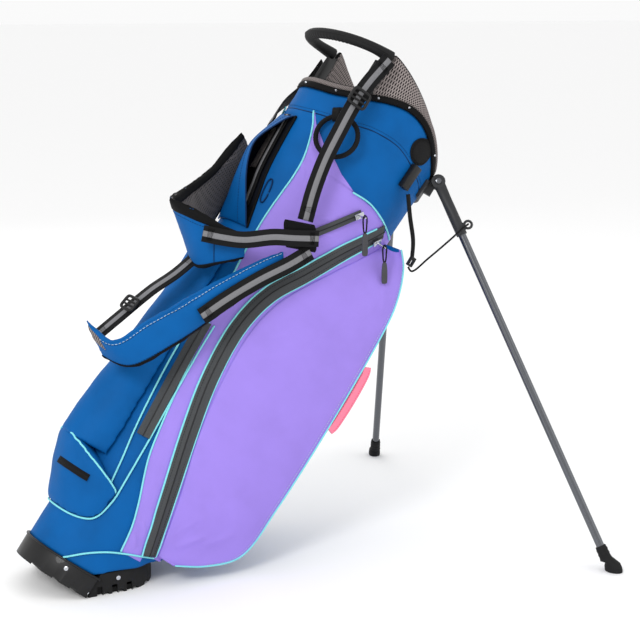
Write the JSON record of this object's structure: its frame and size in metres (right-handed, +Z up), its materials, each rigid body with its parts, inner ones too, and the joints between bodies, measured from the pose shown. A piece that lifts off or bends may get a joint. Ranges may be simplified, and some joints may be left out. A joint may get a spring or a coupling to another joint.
{
  "type": "golf stand bag",
  "caption": "Golf stand bag leaning on two folding legs, with a hinged base foot, club divider, collar, side pockets and shoulder straps.",
  "frame": {"origin": "middle of the front foot's flat sole, where the open bag stands on the ground", "axes": "+Z up, +X from the base foot towards the two leg feet, +Y to the bag's left"},
  "size_m": [0.8574, 0.7766, 0.8506],
  "materials": {
    "blue_fabric": "royal blue ripstop nylon, fine weave, slight sheen",
    "purple_fabric": "lavender polyester, smooth weave",
    "grey_mesh": "grey air mesh over foam",
    "black_webbing": "black nylon webbing with a grey woven stripe",
    "zip_tape": "dark grey coil zip tape",
    "pink_webbing": "pink webbing",
    "black_plastic": "black moulded nylon",
    "grey_plastic": "charcoal glass-filled nylon",
    "black_rubber": "black rubber, fine grain",
    "gunmetal_tube": "anodised gunmetal aluminium",
    "steel": "bright zinc-plated steel"
  },
  "bodies": {
    "bag": {"apparel_pocket_left": "blue_fabric", "apparel_pocket_right": "purple_fabric", "ball_pocket": "blue_fabric", "ball_pocket_tab": "black_webbing", "base_shell": "black_plastic", "body_shell": "blue_fabric", "bottom_gusset": "blue_fabric", "carry_handle": "black_rubber", "club_divider": "black_plastic", "cuff_binding": "black_webbing", "cuff_collar": "grey_mesh", "cuff_patch": "black_webbing", "foot_hinge_pin": "steel", "frame_stay_left": "grey_plastic", "frame_stay_right": "grey_plastic", "grab_handle": "pink_webbing", "handle_post_left": "black_plastic", "handle_post_right": "black_plastic", "ladder_lock": "black_plastic", "leg_bolt_left": "steel", "leg_bolt_right": "steel", "leg_bracket": "grey_plastic", "leg_cord": "black_webbing", "leg_strap": "black_webbing", "leg_strap_hook": "black_plastic", "leg_strap_lock": "black_plastic", "pocket_flap": "blue_fabric", "shell_rivet_left": "steel", "shell_rivet_right": "steel", "shoulder_pad_lower": "blue_fabric", "shoulder_pad_upper": "blue_fabric", "spine_pocket": "blue_fabric", "strap_back": "black_webbing", "strap_far": "black_webbing", "strap_front": "black_webbing", "strap_lower": "black_webbing", "strap_slider": "black_plastic", "strap_upper": "black_webbing", "strap_yoke": "black_webbing", "towel_ring_tab": "black_webbing", "zip_tape_main": "zip_tape", "zip_tape_spine": "zip_tape", "zip_tape_upper": "zip_tape"},
    "base_foot": {"base_foot": "black_rubber", "foot_rivet_left": "steel", "foot_rivet_right": "steel"},
    "leg_right": {"leg_arm_right": "grey_plastic", "leg_tube_right": "gunmetal_tube", "leg_foot_right": "black_rubber"},
    "leg_left": {"leg_arm_left": "grey_plastic", "leg_tube_left": "gunmetal_tube", "leg_foot_left": "black_rubber"},
    "actuator": {"actuator_rod": "steel"},
    "zip_slider_main": {"zip_slider_main": "black_plastic"},
    "zip_pull_main": {"zip_pull_main": "black_plastic"},
    "zip_slider_upper": {"zip_slider_upper": "black_plastic"},
    "zip_pull_upper": {"zip_pull_upper": "black_plastic"},
    "towel_ring": {"towel_ring": "black_rubber"}
  },
  "joints": [
    {"name": "leg_right_fold", "type": "hinge", "parent": "bag", "child": "leg_right", "pos_m": [0.55937, -0.07, 0.59432], "axis": [0.4442, 0.8381, -0.3168], "range_deg": [0, 53.8], "stiffness_Nm_per_rad": 0.2, "springref_deg": 53.8, "deforming": ["leg_cord"]},
    {"name": "leg_left_fold", "type": "hinge", "parent": "bag", "child": "leg_left", "pos_m": [0.55937, 0.07, 0.59432], "axis": [-0.4442, 0.8381, 0.3168], "range_deg": [0, 53.8]},
    {"name": "base_foot_close", "type": "hinge", "parent": "bag", "child": "base_foot", "pos_m": [-0.066, 0, 0.007], "axis": [0, 1, 0], "range_deg": [0, 35.5]},
    {"name": "actuator_slide", "type": "slide", "parent": "bag", "child": "actuator", "axis": [-0.5807, 0, -0.8141], "range_m": [0, 0.036]},
    {"name": "zip_main_slide", "type": "slide", "parent": "bag", "child": "zip_slider_main", "axis": [-0.9409, -0.1749, -0.2901], "range_m": [0, 0.044]},
    {"name": "zip_main_pull_swing", "type": "hinge", "parent": "zip_slider_main", "child": "zip_pull_main", "pos_m": [0.43375, -0.11225, 0.50043], "axis": [0, -1, 0], "range_deg": [-40, 40]},
    {"name": "zip_upper_slide", "type": "slide", "parent": "bag", "child": "zip_slider_upper", "axis": [-0.9511, 0.0147, -0.3085], "range_m": [0, 0.044]},
    {"name": "zip_upper_pull_swing", "type": "hinge", "parent": "zip_slider_upper", "child": "zip_pull_upper", "pos_m": [0.38668, -0.13122, 0.55306], "axis": [0, -1, 0], "range_deg": [-40, 40]},
    {"name": "towel_ring_swing", "type": "hinge", "parent": "bag", "child": "towel_ring", "pos_m": [0.36407, -0.08513, 0.70783], "axis": [-0.7861, 0.618, 0], "range_deg": [0, 15]}
  ],
  "couplings": [
    {"joint": "leg_left_fold", "follows": "leg_right_fold", "ratio": 1},
    {"joint": "base_foot_close", "follows": "leg_right_fold", "ratio": 0.6597},
    {"joint": "actuator_slide", "follows": "leg_right_fold", "m_per_rad": 0.03832}
  ]
}
